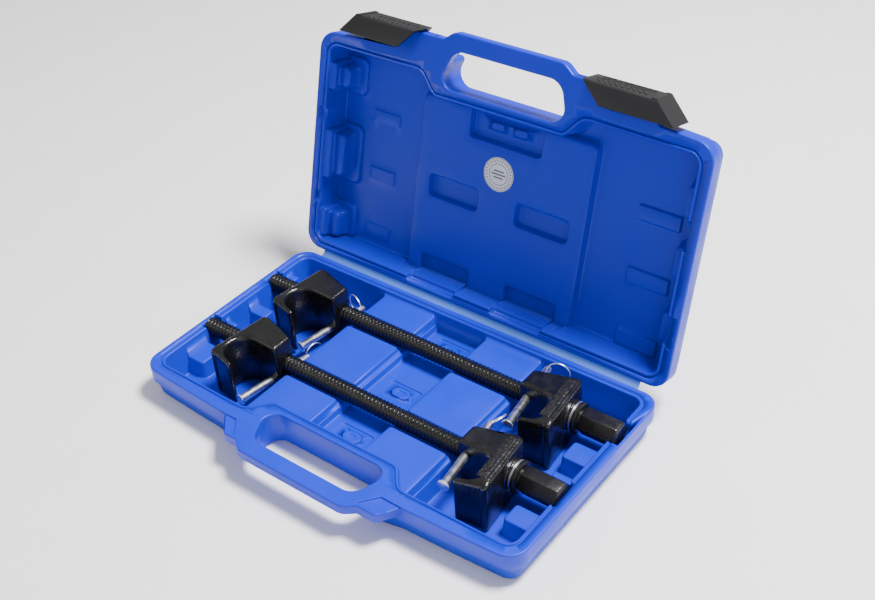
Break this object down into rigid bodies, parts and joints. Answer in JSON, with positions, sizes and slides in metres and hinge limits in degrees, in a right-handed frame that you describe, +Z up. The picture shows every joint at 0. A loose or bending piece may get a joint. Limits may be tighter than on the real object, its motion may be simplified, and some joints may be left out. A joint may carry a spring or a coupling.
{
  "type": "coil spring compressor set",
  "caption": "Pair of hook-jaw coil spring compressors with screw spindles and safety pins, laid in a hinged blow-moulded carrying case.",
  "frame": {"origin": "centre of the case's underside, on the surface it rests on", "axes": "+X along the case towards the spindles' drive ends, +Y towards the lid's hinge, +Z up"},
  "size_m": [0.4, 0.3348, 0.2721],
  "materials": {
    "base_plastic": "bright blue blow-moulded polyethylene, smooth inside, finely grained outside",
    "lid_plastic": "blue blow-moulded polyethylene",
    "latch_plastic": "black plastic",
    "label": "pale blank printed disc",
    "black_steel": "black oxide and paint, semi-gloss",
    "bright_steel": "zinc plated"
  },
  "bodies": {
    "case": {"case_base": "base_plastic", "hinge_web_base": "base_plastic"},
    "lid": {"case_lid": "lid_plastic", "hinge_web_lid": "lid_plastic", "label_disc": "label"},
    "latch_l": {"latch_left": "latch_plastic"},
    "latch_r": {"latch_right": "latch_plastic"},
    "front_tool": {"front_fixed_jaw": "black_steel", "front_thrust_washer": "bright_steel"},
    "front_screw": {"front_spindle": "black_steel", "front_retaining_ring": "black_steel"},
    "front_slider": {"front_moving_jaw": "black_steel"},
    "front_pin_a": {"front_pin_fixed": "bright_steel"},
    "front_pin_b": {"front_pin_moving": "bright_steel"},
    "front_ring_a": {"front_split_ring_fixed": "bright_steel"},
    "front_ring_b": {"front_split_ring_moving": "bright_steel"},
    "rear_tool": {"rear_fixed_jaw": "black_steel", "rear_thrust_washer": "bright_steel"},
    "rear_screw": {"rear_spindle": "black_steel", "rear_retaining_ring": "black_steel"},
    "rear_slider": {"rear_moving_jaw": "black_steel"},
    "rear_pin_a": {"rear_pin_fixed": "bright_steel"},
    "rear_pin_b": {"rear_pin_moving": "bright_steel"},
    "rear_ring_a": {"rear_split_ring_fixed": "bright_steel"},
    "rear_ring_b": {"rear_split_ring_moving": "bright_steel"}
  },
  "joints": [
    {"name": "lid_hinge", "type": "hinge", "parent": "case", "child": "lid", "pos_m": [0, 0.1075, 0.033], "axis": [1, 0, 0], "range_deg": [0, 105]},
    {"name": "latch_left_slide", "type": "slide", "parent": "lid", "child": "latch_l", "axis": [1, 0, 0], "range_m": [0, 0.014]},
    {"name": "latch_right_slide", "type": "slide", "parent": "lid", "child": "latch_r", "axis": [-1, 0, 0], "range_m": [0, 0.014]},
    {"name": "front_lift", "type": "slide", "parent": "case", "child": "front_tool", "axis": [0, 0, -1], "range_m": [-0.14, 0]},
    {"name": "front_screw_turn", "type": "hinge", "parent": "front_tool", "child": "front_screw", "pos_m": [0, -0.032, 0.028], "axis": [1, 0, 0], "range_deg": [-181, 901]},
    {"name": "front_jaw_slide", "type": "slide", "parent": "front_tool", "child": "front_slider", "axis": [-1, 0, 0], "range_m": [-0.002, 0.01]},
    {"name": "front_pin_fixed_slide", "type": "slide", "parent": "front_tool", "child": "front_pin_a", "axis": [-0.1392, 0.9903, 0], "range_m": [0, 0.02]},
    {"name": "front_pin_moving_slide", "type": "slide", "parent": "front_slider", "child": "front_pin_b", "axis": [0.1392, 0.9903, 0], "range_m": [0, 0.02]},
    {"name": "front_ring_fixed_swing", "type": "hinge", "parent": "front_pin_a", "child": "front_ring_a", "pos_m": [0.10423, -0.00873, 0.0398], "axis": [0.7002, 0.0984, 0.7071], "range_deg": [0, 60]},
    {"name": "front_ring_moving_swing", "type": "hinge", "parent": "front_pin_b", "child": "front_ring_b", "pos_m": [-0.09773, -0.00873, 0.0162], "axis": [0, 0, -1], "range_deg": [-12, 3]},
    {"name": "rear_lift", "type": "slide", "parent": "case", "child": "rear_tool", "axis": [0, 0, -1], "range_m": [-0.14, 0]},
    {"name": "rear_screw_turn", "type": "hinge", "parent": "rear_tool", "child": "rear_screw", "pos_m": [0, 0.051, 0.028], "axis": [1, 0, 0], "range_deg": [-181, 901]},
    {"name": "rear_jaw_slide", "type": "slide", "parent": "rear_tool", "child": "rear_slider", "axis": [-1, 0, 0], "range_m": [-0.002, 0.01]},
    {"name": "rear_pin_fixed_slide", "type": "slide", "parent": "rear_tool", "child": "rear_pin_a", "axis": [-0.1392, 0.9903, 0], "range_m": [0, 0.003]},
    {"name": "rear_pin_moving_slide", "type": "slide", "parent": "rear_slider", "child": "rear_pin_b", "axis": [0.1392, 0.9903, 0], "range_m": [0, 0.01]},
    {"name": "rear_ring_fixed_swing", "type": "hinge", "parent": "rear_pin_a", "child": "rear_ring_a", "pos_m": [0.10623, 0.07427, 0.0398], "axis": [0, 0, -1], "range_deg": [-25, 15]},
    {"name": "rear_ring_moving_swing", "type": "hinge", "parent": "rear_pin_b", "child": "rear_ring_b", "pos_m": [-0.10273, 0.07427, 0.0162], "axis": [0, 0, 1], "range_deg": [-25, 15]}
  ],
  "couplings": [
    {"joint": "front_screw_turn", "follows": "front_jaw_slide", "rad_per_m": 1570.8},
    {"joint": "rear_screw_turn", "follows": "rear_jaw_slide", "rad_per_m": 1570.8}
  ]
}
